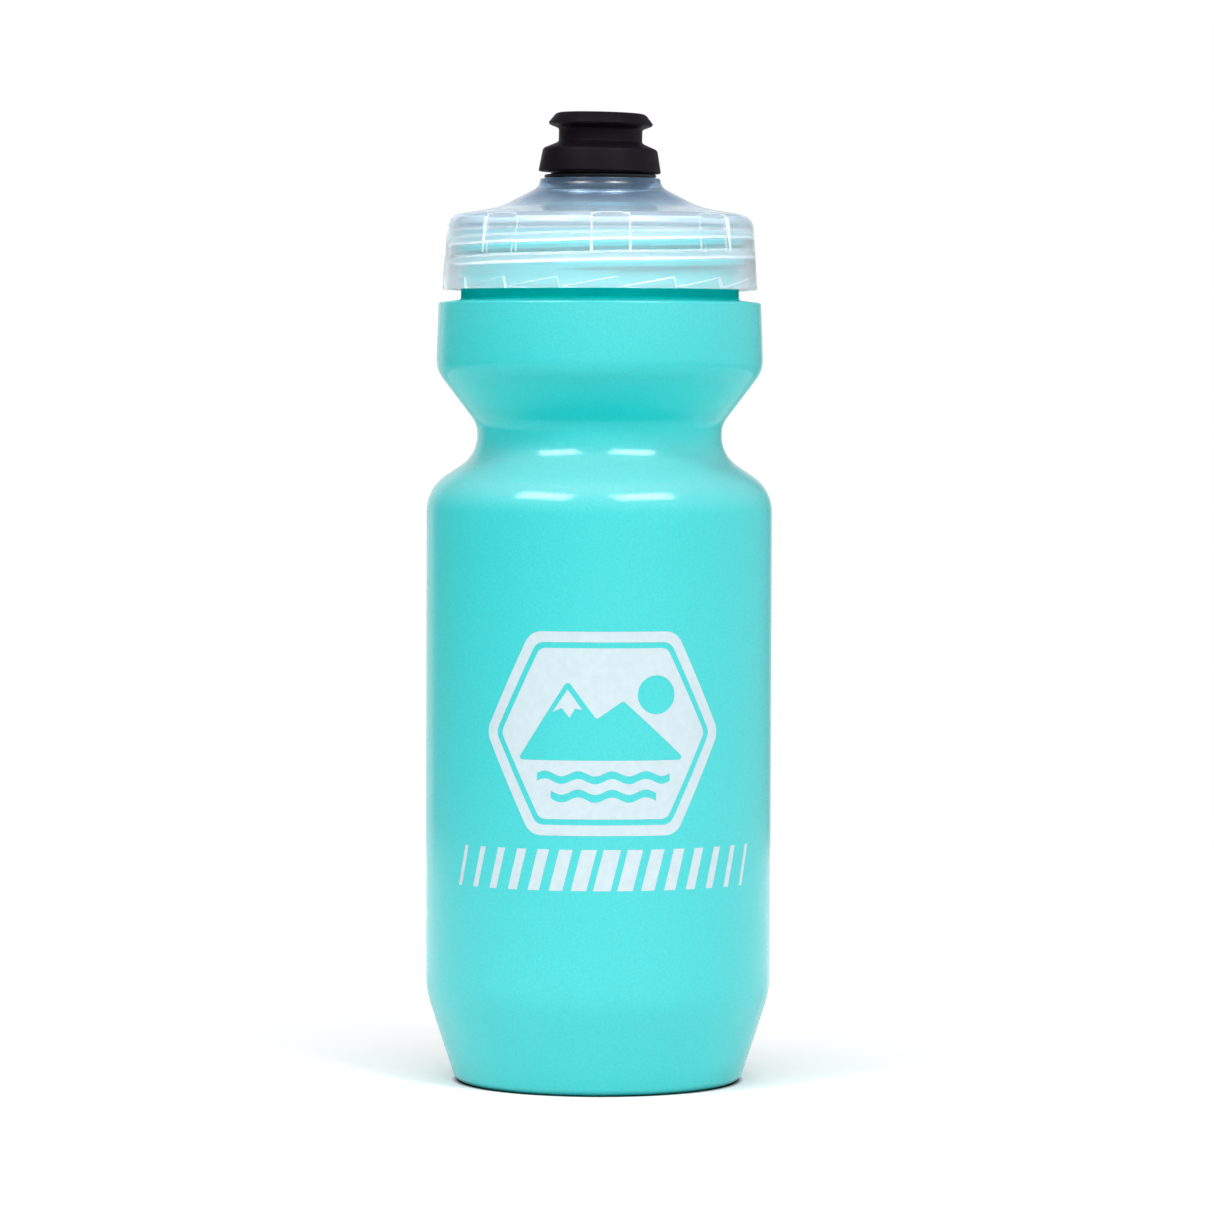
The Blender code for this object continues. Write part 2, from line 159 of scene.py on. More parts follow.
def revolve(name, profile_at, angles, closed=True, sharp=40):
    """A surface round Z through one profile per angle.

    A closed profile is a ring, and an open one starts and ends on Z. A profile runs up the inside and
    down the outside, so that the faces point out."""
    profiles = [profile_at(a) for a in angles]
    rows = len(profiles[0])
    verts = [
        (r * math.cos(a) * MM, r * math.sin(a) * MM, z * MM)
        for a, profile in zip(angles, profiles)
        for r, z in profile
    ]
    faces = []
    for i in range(len(angles)):
        j = (i + 1) % len(angles)
        for k in range(rows if closed else rows - 1):
            n = (k + 1) % rows
            faces.append((i * rows + k, i * rows + n, j * rows + n, j * rows + k))
    mesh = bpy.data.meshes.new(name)
    mesh.from_pydata(verts, [], faces)
    form = bmesh.new()
    form.from_mesh(mesh)
    if not closed:
        axis = [v for v in form.verts if v.co.xy.length < 1e-9]
        bmesh.ops.remove_doubles(form, verts=axis, dist=1e-7)
        bmesh.ops.dissolve_degenerate(form, edges=form.edges, dist=1e-8)
    form.to_mesh(mesh)
    form.free()
    mesh.shade_smooth()
    mesh.set_sharp_from_angle(angle=math.radians(sharp))
    piece = bpy.data.objects.new(name, mesh)
    bpy.context.scene.collection.objects.link(piece)
    return piece


def turned(name, corners, closed=True, sharp=40, steps=STEPS):
    outline = rounded(corners, closed)
    return revolve(name, lambda angle: outline, even_angles(steps), closed, sharp)


def thread_ridge(angle, z, z_at_front, heights):
    """How far a helical thread stands out of its wall at an angle and a height.

    It fades out at both ends."""
    root_half, crest_half, fade_turn = 1.15, 0.4, 0.12
    turn = (angle - FRONT) / math.tau
    centre = z_at_front + LEAD * (turn + round((z - z_at_front) / LEAD - turn))
    fade = min(centre - heights[0], heights[1] - centre) / (LEAD * fade_turn)
    across = (root_half - abs(z - centre)) / (root_half - crest_half)
    return THREAD_DEPTH * smooth(fade) * smooth(across)


# Materials


class Material:
    """A Principled material and short ways to add nodes to it."""

    def __init__(self, name, colour, roughness, **sockets):
        self.material = bpy.data.materials.new(name)
        self.material.use_nodes = True
        self.tree = self.material.node_tree
        self.shader = self.tree.nodes["Principled BSDF"]
        self.set("Base Color", (*colour, 1.0))
        self.set("Roughness", roughness)
        for socket, value in sockets.items():
            self.set(socket.replace("_", " "), value)
        self.place = self.node("ShaderNodeTexCoord").outputs["Object"]

    def set(self, socket, value):
        self.shader.inputs[socket].default_value = value

    def node(self, kind, **inputs):
        node = self.tree.nodes.new(kind)
        for socket, value in inputs.items():
            self.feed(node.inputs[socket.replace("_", " ")], value)
        return node

    def feed(self, socket, value):
        if isinstance(value, bpy.types.NodeSocket):
            self.tree.links.new(value, socket)
        else:
            socket.default_value = value

    def noise(self, size_mm, detail=2.0, roughness=0.5):
        """Noise with features of about that size."""
        node = self.node(
            "ShaderNodeTexNoise",
            Vector=self.place,
            Scale=1 / (size_mm * MM),
            Detail=detail,
            Roughness=roughness,
        )
        return node.outputs["Fac"]

    def ramp(self, factor, stops):
        """A colour ramp through (position, value or colour) stops."""
        node = self.node("ShaderNodeValToRGB", Fac=factor)
        band = node.color_ramp
        while len(band.elements) < len(stops):
            band.elements.new(0.5)
        for element, (position, value) in zip(band.elements, stops):
            element.position = position
            colour = value if isinstance(value, tuple) else (value, value, value)
            element.color = (*colour, 1.0)
        return node.outputs["Color"]

    def times(self, first, second):
        """One value or colour multiplied by another."""
        node = self.node("ShaderNodeVectorMath")
        node.operation = "MULTIPLY"
        self.feed(node.inputs[0], first)
        self.feed(node.inputs[1], second)
        return node.outputs["Vector"]

    def by_height(self, stops):
        """A value or colour that follows the height, through (millimetres, value or colour) stops."""
        bottom, top = stops[0][0], stops[-1][0]
        split = self.node("ShaderNodeSeparateXYZ", Vector=self.place)
        rise = self.node(
            "ShaderNodeMapRange", Value=split.outputs["Z"], From_Min=bottom * MM, From_Max=top * MM
        )
        places = [((z - bottom) / (top - bottom), value) for z, value in stops]
        return self.ramp(rise.outputs["Result"], places)

    def bump(self, layers):
        """Stacks (height, depth in millimetres) layers into the shader's normal."""
        normal = None
        for height, depth_mm in layers:
            node = self.node("ShaderNodeBump", Height=height, Distance=depth_mm * MM)
            if normal:
                self.feed(node.inputs["Normal"], normal)
            normal = node.outputs["Normal"]
        self.feed(self.shader.inputs["Normal"], normal)


def bottle_plastic(name, gloss):
    """Soft turquoise polyethylene with a fine satin grain.

    Its colour follows the height. It is paler low on the barrel and at the top of the shoulder,
    has painted light on the up-facing slope above the barrel, and has painted shade under the waist,
    in the gap below the cap and on the neck inside the cap."""
    m = Material(name, (0.03, 0.49, 0.50), 0.55, Specular_IOR_Level=gloss)
    m.set("Coat Roughness", 0.16)
    m.set("Subsurface Weight", 0.12)
    m.set("Subsurface Radius", (0.2, 1.0, 1.0))
    m.set("Subsurface Scale", 0.0015)
    # Painted light and shade: the slope above the barrel is painted paler where light falls on it, and the
    # waist's underside, the gap below the cap and the neck inside the cap are painted darker where shade
    # falls.
    gap_painted_shade, under_cap_painted_shade, waist_painted_shade, mid, pale, slope_painted_light = (
        (0.0, 0.18, 0.172),
        (0.01, 0.37, 0.375),
        (0.001, 0.535, 0.53),
        (0.024, 0.485, 0.49),
        (0.038, 0.49, 0.50),
        (0.105, 0.48, 0.49),
    )
    tone = m.by_height(
        [
            (0, mid),
            (24, pale),
            (60, pale),
            (112, mid),
            (121, mid),
            (126, slope_painted_light),
            (131, slope_painted_light),
            (135, mid),
            (139.5, waist_painted_shade),
            (146, waist_painted_shade),
            (152, mid),
            (163, pale),
            (164.2, pale),
            (164.8, gap_painted_shade),
            (167.0, gap_painted_shade),
            (168.2, under_cap_painted_shade),
        ]
    )
    fleck = m.ramp(m.noise(0.4, detail=3, roughness=0.7), [(0.3, 0.84), (0.7, 1.0)])
    m.feed(m.shader.inputs["Base Color"], m.times(tone, fleck))
    # Painted shade on the gloss: the coat is weaker under the waist and gone in the gap below the cap, where
    # the cap shades the neck.
    shine = m.by_height(
        [
            (136, 1.0),
            (141, 0.55),
            (148, 0.55),
            (152, 1.0),
            (164.2, 1.0),
            (164.8, 0.0),
            (167.0, 0.0),
            (168.2, 0.6),
        ]
    )
    grain = m.ramp(m.noise(0.45, detail=3, roughness=0.7), [(0.38, 0.45), (0.62, 1.0)])
    m.feed(m.shader.inputs["Coat Weight"], m.times(shine, grain))
    m.feed(m.shader.inputs["Roughness"], m.ramp(m.noise(5), [(0.3, 0.52), (0.7, 0.58)]))
    m.bump([(m.noise(22, detail=1), 0.05), (m.noise(0.55, detail=3, roughness=0.6), 0.03)])
    return m.material


def cap_plastic():
    """Natural polypropylene: milky, see-through and smooth. Its colour is painted darker over the deck, and
    darker and bluer up the collar over the dark valve, as painted shade.
    """
    m = Material("cap_plastic", (0.80, 0.92, 0.97), 0.14, Transmission_Weight=0.9, IOR=1.35)
    # Painted shade: the tint darkens over the deck, and darkens and turns bluer up the collar.
    tint = [
        (167, (0.82, 0.89, 0.93)),
        (177, (0.80, 0.88, 0.92)),
        (178.5, (0.69, 0.79, 0.85)),
        (183, (0.64, 0.74, 0.82)),
        (187.5, (0.38, 0.56, 0.77)),
        (190, (0.33, 0.51, 0.74)),
    ]
    clearness = [
        (167, 0.85),
        (171, 0.89),
        (177.4, 0.92),
        (178.2, 0.79),
        (182.5, 0.82),
        (184, 0.87),
        (187, 0.94),
        (190, 0.95),
    ]
    m.feed(m.shader.inputs["Base Color"], m.by_height(tint))
    m.feed(m.shader.inputs["Transmission Weight"], m.by_height(clearness))
    m.feed(m.shader.inputs["Roughness"], m.ramp(m.noise(3), [(0.3, 0.18), (0.7, 0.25)]))
    m.bump([(m.noise(12, detail=1), 0.006), (m.noise(0.5, detail=2), 0.002)])
    return m.material


def milky_cap_plastic(name, colour, clearness):
    """The same plastic, milkier so that less gets through: where it is thick, and as a painted highlight on
    the flutes' edges.
    """
    m = Material(name, colour, 0.2, Transmission_Weight=clearness, IOR=1.35)
    m.feed(m.shader.inputs["Roughness"], m.ramp(m.noise(3), [(0.3, 0.18), (0.7, 0.25)]))
    m.bump([(m.noise(0.5, detail=2), 0.002)])
    return m.material


def mouthpiece_rubber():
    """Soft black rubber with a spark-eroded texture."""
    m = Material("mouthpiece_rubber", (0.004, 0.002, 0.005), 0.50, Specular_IOR_Level=0.08)
    m.feed(m.shader.inputs["Roughness"], m.ramp(m.noise(2.5), [(0.3, 0.45), (0.7, 0.55)]))
    m.bump([(m.noise(0.4, detail=3), 0.015)])
    return m.material


def valve_plastic():
    m = Material("valve_plastic", (0.004, 0.004, 0.005), 0.38, Specular_IOR_Level=0.25)
    m.feed(m.shader.inputs["Roughness"], m.ramp(m.noise(2), [(0.3, 0.32), (0.7, 0.45)]))
    m.bump([(m.noise(0.6), 0.004)])
    return m.material


def seal_rubber():
    """Pale silicone."""
    m = Material("seal_rubber", (0.46, 0.54, 0.56), 0.45)
    m.set("Subsurface Weight", 0.2)
    m.set("Subsurface Scale", 0.001)
    m.feed(m.shader.inputs["Roughness"], m.ramp(m.noise(1.5), [(0.3, 0.4), (0.7, 0.5)]))
    m.bump([(m.noise(0.5), 0.004)])
    return m.material


def o_ring_rubber():
    """Black rubber with a film of grease."""
    m = Material("o_ring_rubber", (0.006, 0.006, 0.007), 0.35, Specular_IOR_Level=0.4)
    m.feed(m.shader.inputs["Roughness"], m.ramp(m.noise(1.5), [(0.3, 0.3), (0.7, 0.42)]))
    m.bump([(m.noise(0.4), 0.003)])
    return m.material


def print_ink():
    """Pale screen-printing ink, a little uneven where it was pressed through the mesh."""
    m = Material("print_ink", (0.41, 0.50, 0.535), 0.5)
    tone = m.noise(1.6, detail=4)
    m.feed(
        m.shader.inputs["Base Color"],
        m.ramp(tone, [(0.3, (0.39, 0.48, 0.515)), (0.7, (0.43, 0.52, 0.555))]),
    )
    m.bump([(m.noise(0.5, detail=2), 0.006)])
    return m.material


def floor_paper():
    """White paper, with a painted contact shadow: a dark ring under the edge of the bottle's foot."""
    m = Material("floor_paper", (0.83, 0.83, 0.83), 0.85)
    away = m.node("ShaderNodeVectorMath")
    away.operation = "LENGTH"
    m.feed(away.inputs[0], m.place)
    # Painted contact shadow: the paper is dark inside this ring round the foot.
    dark_r, clear_r = 29.5, 31
    lit = m.node(
        "ShaderNodeMapRange",
        Value=away.outputs["Value"],
        From_Min=dark_r * MM,
        From_Max=clear_r * MM,
    )
    paper = m.ramp(m.noise(40), [(0.3, 0.827), (0.7, 0.833)])
    shade = m.ramp(lit.outputs["Result"], [(0, 0.01), (1, 1.0)])
    m.feed(m.shader.inputs["Base Color"], m.times(shade, paper))
    m.set("Specular IOR Level", 0.1)
    return m.material


def placed(piece, material, slot, body, *nodes):
    """Gives a piece its material and says what it rides on and stands for."""
    piece.data.materials.append(material)
    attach(piece, body)
    if nodes:
        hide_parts(*nodes)
    return piece


# Pieces


def bottle():
    """The blow-moulded bottle, with the thread on its neck and a faint mould seam down each side."""
    inner_r = BARREL_R - WALL
    inside = rounded(
        [
            (0, 5.2, 0),
            (20.4, 5.2, 3),
            (24.9, 1.6, 1.2),
            (28.9, 1.6, 2),
            (inner_r, 19.5, 18),
            (inner_r, 124.6, 8),
            (WAIST_R - WALL, 131.8, 8.5),
            (WAIST_R - WALL, 139.2, 1.5),
            (UPPER_R - WALL, 150.7, 5.5),
            (32.8, 163.1, 1.5),
            (NECK_BORE_R, 163.5, 1.5),
            (NECK_BORE_R, RIM_Z, 0.4),
            (NECK_R, RIM_Z, 0.4),
            (NECK_R, 179.0, 0),
        ]
    )
    neck_rows = refined([(NECK_R, 178.9), (NECK_R, 170.4)], 0.11)
    outside = rounded(
        [
            (NECK_R, 170.3, 0),
            (NECK_R, 164.95, 0.6),
            (34.0, 164.4, 0.5),
            (UPPER_R, 150.3, 6.5),
            (WAIST_R, 138.8, 5.5),
            (WAIST_R, 132.4, 7.5),
            (BARREL_R, 125.2, 9),
            (BARREL_R, 19.3, 18),
            (30.12, 0, 2.4),
            (24.6, 0, 1),
            (20, 3.6, 3),
            (0, 3.6, 0),
        ]
    )
    outside = refined(outside, 6)
    seam_angles = [math.radians(a) for a in (12, 192)]
    seam_half = math.radians(0.5)

    def profile_at(angle):
        off = min(abs((angle - s + math.pi) % math.tau - math.pi) for s in seam_angles)
        seam = 0.04 * smooth(1 - off / seam_half)
        neck = [(r + thread_ridge(angle, z, FRONT_RIDGE_Z, NECK_THREAD_Z), z) for r, z in neck_rows]
        return inside + neck + [(r + seam if 1 < z < 164 else r, z) for r, z in outside]

    near_seam = [s + seam_half * k / 2 for s in seam_angles for k in range(-2, 3)]
    angles = sorted(set(even_angles()) | {a % math.tau for a in near_seam})
    piece = revolve("bottle_shell", profile_at, angles, closed=False, sharp=50)
    # Painted shade: faces in the gap below the cap take a copy of the plastic with no gloss, standing in for
    # the cap's shade.
    gap_z = (164.7, 168.5)
    for face in piece.data.polygons:
        x, y, z = (c / MM for c in face.center)
        if gap_z[0] < z < gap_z[1] and math.hypot(x, y) > NECK_R - 0.3:
            face.material_index = 1
    return piece


def cap_angles():
    """Angles for the cap, close together at the steep side of each ramp and at the sides of each flute."""
    per_ramp = 18
    side_turn = math.radians(7.2)
    angles = [
        (FRONT + FLUTE_TURN + math.tau * i / FLUTES + side * side_turn + math.radians(k / 5)) % math.tau
        for i in range(FLUTES)
        for side in (-1, 1)
        for k in range(-3, 4)
    ]
    for tooth in range(RAMPS):
        start = RAMP_TURN + math.tau * tooth / RAMPS
        angles += [start + math.tau / RAMPS * k / per_ramp for k in range(per_ramp)]
        angles.append(start + math.tau / RAMPS * 0.992)
    return sorted(a % math.tau for a in angles)


def cap():
    """The screw cap: thread and saw-tooth ramps inside, grip flutes round the shoulder."""
    shoulder_r, shoulder_z = 32.2, 182.6
    deck_z = 181.75
    outside = rounded(
        [
            (12.2, COLLAR_TOP_Z, 0),
            (12.63, COLLAR_TOP_Z, 0.25),
            (12.95, 188.7, 2.5),
            (21.0, 184.5, 16),
            (shoulder_r, shoulder_z, 3.0),
            (CAP_BOTTOM_R, CAP_BOTTOM_Z, 0.35),
            (32.9, CAP_BOTTOM_Z, 0),
        ]
    )
    outside = refined(outside, 0.45)
    inside = rounded(
        [
            (CAP_BORE_R, 179.3, 0),
            (30.4, 179.8, 0),
            (30.4, deck_z, 0.3),
            (26.5, deck_z, 0.3),
            (26.5, 179.4, 0.3),
            (25.6, 179.4, 0.3),
            (25.6, 182.0, 0.6),
            (20.6, 182.9, 14),
            (13.2, 186.5, 1),
            (COLLAR_BORE_R, 186.5, 0.3),
            (COLLAR_BORE_R, COLLAR_TOP_Z, 0.3),
            (12.0, COLLAR_TOP_Z, 0),
        ]
    )
    bore_rows = refined([(CAP_BORE_R, 170.2), (CAP_BORE_R, 179.2)], 0.11)
    flute_foot, flute_head = (32.95, 172.5), (30.9, 182.2)
    flute_half, flute_edge = 4.0, 0.4
    spacing = math.tau / FLUTES

    def off_flute(angle):
        return (angle - FRONT - FLUTE_TURN + spacing / 2) % spacing - spacing / 2

    def flute_floor(z):
        rise = (z - flute_foot[1]) / (flute_head[1] - flute_foot[1])
        return flute_foot[0] + (flute_head[0] - flute_foot[0]) * rise

    def fluted(r, z, angle):
        off = off_flute(angle)
        cut = soft_excess(r * math.cos(off) - flute_floor(z), 0.08)
        return r - cut * smooth((flute_half - abs(r * math.sin(off))) / flute_edge + 0.5)

    def profile_at(angle):
        share = (angle - RAMP_TURN) / math.tau * RAMPS
        step = share - math.floor(share + 1e-9)
        top = CAP_BOTTOM_Z + 0.25 + RAMP_RISE * (0.0 if step > 0.99 else step)
        foot = [
            (32.6, CAP_BOTTOM_Z),
            (RAMP_R, CAP_BOTTOM_Z),
            (RAMP_R, top - 0.1),
            (RAMP_R - 0.1, top),
            (CAP_BORE_R + 0.05, top),
            (CAP_BORE_R, top + 0.05),
        ]
        bore = [(r - thread_ridge(angle, z, CAP_RIDGE_Z, CAP_THREAD_Z), z) for r, z in bore_rows]
        shell = [(fluted(r, z, angle) if z < COLLAR_TOP_Z - 4 else r, z) for r, z in outside]
        return foot + bore + inside + shell

    piece = revolve("cap_molding", profile_at, cap_angles(), sharp=35)
    # Faces of the thread and the ramps are milkier, and the lines round each flute are a painted highlight.
    thread_foot, thread_head = CAP_THREAD_Z[0] - 1.5, CAP_THREAD_Z[1] + 1
    side_foot, head_foot, side_head, head_head = 174.5, 180.5, 182, 183
    for face in piece.data.polygons:
        x, y, z = (c / MM for c in face.center)
        r = math.hypot(x, y)
        off = off_flute(math.atan2(y, x))
        on_thread = r < CAP_BORE_R - 0.25 and thread_foot < z < thread_head
        on_ramp = CAP_BORE_R < r < RAMP_R - 0.12 and z < CAP_BOTTOM_Z + 0.3 + RAMP_RISE
        beside = abs(r * math.sin(off))
        past_flat = abs(r * math.cos(off) - flute_floor(z))
        on_side = abs(beside - flute_half) < flute_edge / 2 and side_foot < z < side_head
        on_head = beside < flute_half and 0.02 < past_flat < 0.2 and head_foot < z < head_head
        on_flute = r > CAP_BORE_R - 1 and (on_side or on_head)
        if on_thread or on_ramp:
            face.material_index = 1
        elif on_flute:
            face.material_index = 2
    return piece


def sealing_ring():
    low_z, high_z = RING_Z
    corners = [(26.95, low_z, 0.3), (26.95, high_z, 0.3), (30.05, high_z, 0.3), (30.05, low_z, 0.3)]
    return turned("sealing_ring", corners)


def o_ring(name, node, radius):
    """An O-ring at the height of its CAD node."""
    centre = (low(node) + high(node)) / 2
    half = (high(node) - low(node)) / 2
    section = [
        (radius - half * math.cos(math.tau * k / 24), centre + half * math.sin(math.tau * k / 24))
        for k in range(24)
    ]
    return revolve(name, lambda angle: section, even_angles(128))


def valve_seat():
    groove = 0.65
    ring_r, ring_z = 10.85, 188.7
    seat_r = COLLAR_BORE_R - 0.3
    corners = [
        (SEAT_BORE_R, SEAT_BOTTOM_Z, 0.25),
        (SEAT_BORE_R, 194.5, 0),
        (8.8, 194.5, 0.1),
        (8.8, 195.2, 0.2),
        (10.4, 195.2, 0.3),
        (10.4, 191.35, 0.3),
        (11.8, 191.35, 0.25),
        (11.8, COLLAR_TOP_Z + 0.25, 0.1),
        (seat_r, COLLAR_TOP_Z + 0.25, 0),
        (seat_r, ring_z + groove, 0.08),
        (ring_r - groove, ring_z + groove, 0.1),
        (ring_r - groove, ring_z - groove, 0.1),
        (seat_r, ring_z - groove, 0.08),
        (seat_r, 186.2, 0),
        (12.05, 186.2, 0.25),
        (seat_r - 0.3, SEAT_BOTTOM_Z, 0.3),
    ]
    seat = turned("seat_tube", corners)
    post_corners = [
        (0, PLUG_TOP_Z, 0),
        (3.7, PLUG_TOP_Z, 0.8),
        (3.7, 201.6, 0.3),
        (2.0, 199.8, 0.6),
        (2.0, 186.2, 0.5),
        (2.6, 185.6, 0.3),
        (2.6, 184.1, 0.3),
        (0, 184.1, 0),
    ]
    post = turned("seat_post", post_corners, closed=False, steps=96)
    return seat, post


def seat_spokes():
    """Rounded bars that hold the plug's post in the middle of the seat."""
    mesh = bpy.data.meshes.new("seat_spokes")
    form = bmesh.new()
    length, width, height = SEAT_BORE_R - 1.9, 1.8, 1.3
    for i in range(4):
        made = bmesh.ops.create_cube(form, size=1.0)["verts"]
        bmesh.ops.scale(form, verts=made, vec=Vector((length, width, height)) * MM)
        edges = list({e for v in made for e in v.link_edges})
        made = bmesh.ops.bevel(
            form, geom=edges, offset=0.3 * MM, segments=3, profile=0.5, affect="EDGES"
        )["verts"]
        middle = Vector(((2.2 + SEAT_BORE_R + 0.3) / 2, 0, 184.85)) * MM
        bmesh.ops.translate(form, verts=made, vec=middle)
        turn = Matrix.Rotation(math.radians(45 + 90 * i), 3, "Z")
        bmesh.ops.rotate(form, verts=made, cent=(0, 0, 0), matrix=turn)
    form.to_mesh(mesh)
    form.free()
    mesh.shade_smooth()
    mesh.set_sharp_from_angle(angle=math.radians(40))
    piece = bpy.data.objects.new("seat_spokes", mesh)
    bpy.context.scene.collection.objects.link(piece)
    return piece


def slider():
    groove = 0.65
    ring_r, ring_z = 8.65, 187.1
    corners = [
        (7.3, SLIDER_BOTTOM_Z, 0.2),
        (7.3, 195.4, 0.6),
        (6.1, 196.8, 0.6),
        (6.1, 201.6, 0.3),
        (4.5, 201.6, 0.2),
        (4.5, 202.6, 0.2),
        (8.0, 202.6, 0.2),
        (8.0, 201.7, 0.15),
        (7.2, 201.4, 0),
        (7.2, 197.2, 0.4),
        (8.5, 195.9, 0.4),
        (8.5, 188.2, 0),
        (9.0, 188.2, 0.15),
        (9.0, ring_z + groove, 0.08),
        (ring_r - groove, ring_z + groove, 0.1),
        (ring_r - groove, ring_z - groove, 0.1),
        (9.0, ring_z - groove, 0.08),
        (9.0, SLIDER_BOTTOM_Z, 0.15),
    ]
    return turned("slider_tube", corners, steps=160)


def mouthpiece():
    """The soft mouthpiece. It sits a little askew on its slider, lower on the right."""
    askew = math.radians(1.2)
    room = 0.2
    skirt_z, top_z = SKIRT_Z + room, TOP_Z - room
    corners = [
        (10.9, skirt_z, 0.3),
        (10.9, 195.0, 0.6),
        (8.8, 195.6, 0),
        (8.8, 196.1, 0),
        (7.5, 197.4, 0.3),
        (7.5, 201.2, 0),
        (8.3, 201.5, 0),
        (8.3, 202.9, 0),
        (3.9, 202.9, 0.2),
        (3.9, 204.0, 0.5),
        (9.3, top_z, 1.6),
        (11.03, 202.1, 0.3),
        (10.7, 201.65, 0.3),
        (8.8, 200.9, 0.6),
        (8.8, 198.3, 0.25),
        (9.25, 197.9, 0.35),
        (12.05, 196.7, 1.0),
        (12.93, skirt_z, 0.3),
    ]
    piece = turned("soft_mouthpiece", corners)
    middle = Matrix.Translation((0, 0, 198 * MM))
    piece.data.transform(middle @ Matrix.Rotation(askew, 4, "Y") @ middle.inverted())
    return piece


# Print


def hexagon(inset, fillet):
    """The badge's outline, drawn in from its edge by an inset."""
    width, height, top = 26.0, 21.0, 15.5
    slant = math.hypot(height, width - top)
    tip = width - inset * slant / height
    side = tip - (width - top) * (height - inset) / height
    high_v = height - inset
    corners = [(-tip, 0), (-side, high_v), (side, high_v), (tip, 0), (side, -high_v), (-side, -high_v)]
    return rounded([(u, v, fillet) for u, v in corners], closed=True)


def wave(middle_v, half_width):
    """A wavy stripe."""
    half_height, swell, length = 0.8, 0.55, 7.0
    across = [-half_width + 2 * half_width * k / 48 for k in range(49)]
    line = [(u, middle_v + swell * math.sin(math.tau * u / length)) for u in across]
    return [(u, v - half_height) for u, v in line] + [(u, v + half_height) for u, v in reversed(line)]


def badge_loops():
    """A hexagon with a rim. Hills, a sun and two waves are left out of its field."""
    sun = [
        (11 + 4 * math.cos(math.tau * k / 48), 8 + 4 * math.sin(math.tau * k / 48)) for k in range(48)
    ]
    hills = [(-18.3, -5.5, 0.6), (-7.5, 11, 0.8), (-1.5, 3, 0.5), (4, 6.8, 0.8), (17.6, -5.5, 0.6)]
    snow = [(-7.5, 9.1), (-10.7, 4.4), (-8.7, 5.3), (-7.1, 3.3), (-5.9, 5.2), (-4.4, 4.9)]
    return [
        hexagon(0, 4),
        hexagon(2.2, 2.6),
        hexagon(3.4, 2),
        sun,
        rounded(hills, closed=True),
        snow,
        wave(-9.0, 14.0),
        wave(-12.8, 11.0),
    ]


def stripe_loops():
    """A row of slanted bars that grow thinner towards both ends."""
    count, pitch, slant, half_height = 15, 4.8, 2.2, 4.25
    widest, thinnest = 3.6, 1.0
    loops = []
    for k in range(count):
        off = abs(2 * k / (count - 1) - 1)
        half = (widest + (thinnest - widest) * off) / 2
        u = (k - (count - 1) / 2) * pitch
        low_u, high_u = u - slant / 2, u + slant / 2
        loops.append(
            [
                (low_u - half, -half_height),
                (low_u + half, -half_height),
                (high_u + half, half_height),
                (high_u - half, half_height),
            ]
        )
    return loops


def printed(name, loops, turn, height):
    """Ink on the barrel: the places that an odd number of loops surround, wrapped round from the front."""
    strip = 0.75
    at_points = {u for loop in loops for u, v in loop}
    left, right = min(at_points), max(at_points)
    count = math.ceil((right - left) / strip)
    cuts = sorted(at_points | {left + (right - left) * k / count for k in range(count)})
    cuts = [u for u, following in zip(cuts, cuts[1:] + [math.inf]) if following - u > 1e-4]
    panels = []
    marks = {u: set() for u in cuts}
    for u0, u1 in zip(cuts, cuts[1:]):
        middle = (u0 + u1) / 2
        lines = []
        for loop in loops:
            for (pu, pv), (qu, qv) in zip(loop, loop[1:] + loop[:1]):
                if min(pu, qu) < middle < max(pu, qu):
                    slope = (qv - pv) / (qu - pu)
                    lines.append([pv + slope * (u - pu) for u in (middle, u0, u1)])
        lines.sort()
        for under, over in zip(lines[::2], lines[1::2]):
            panels.append((u0, u1, under, over))
            marks[u0] |= {under[1], over[1]}
            marks[u1] |= {under[2], over[2]}
    form = bmesh.new()
    sunk_r = BARREL_R - INK

    def corner(u, v):
        angle = FRONT + turn + u / BARREL_R
        return form.verts.new(
            Vector((sunk_r * math.cos(angle), sunk_r * math.sin(angle), height + v)) * MM
        )

    for u0, u1, under, over in panels:
        rising = sorted(v for v in marks[u1] if under[2] <= v <= over[2])
        falling = sorted((v for v in marks[u0] if under[1] <= v <= over[1]), reverse=True)
        form.faces.new([corner(u1, v) for v in rising] + [corner(u0, v) for v in falling])
    bmesh.ops.remove_doubles(form, verts=form.verts, dist=1e-6)
    bmesh.ops.dissolve_degenerate(form, edges=form.edges, dist=1e-7)
    made = bmesh.ops.extrude_face_region(form, geom=form.faces[:], use_keep_orig=True)["geom"]
    proud = (BARREL_R + 0.9 * INK) / sunk_r
    for v in made:
        if isinstance(v, bmesh.types.BMVert):
            v.co.x *= proud
            v.co.y *= proud
    bmesh.ops.recalc_face_normals(form, faces=form.faces)
    mesh = bpy.data.meshes.new(name)
    form.to_mesh(mesh)
    form.free()
    piece = bpy.data.objects.new(name, mesh)
    bpy.context.scene.collection.objects.link(piece)
    return piece


# Camera, lights and floor


def camera():
    """A long lens, a little above the middle of the bottle."""
    eye = Vector((0, -1195, 149)) * MM
    aim = Vector((1.7, 0, 100.2)) * MM
    data = bpy.data.cameras.new("camera")
    data.lens = 167.8
    data.sensor_width = 36
    data.clip_end = 50
    thing = bpy.data.objects.new("camera", data)
    bpy.context.scene.collection.objects.link(thing)
    thing.location = eye
    roll = Matrix.Rotation(math.radians(0.18), 4, "Z")
    facing = (aim - eye).to_track_quat("-Z", "Y").to_matrix().to_4x4()
    thing.matrix_world = Matrix.Translation(eye) @ facing @ roll
    bpy.context.scene.camera = thing


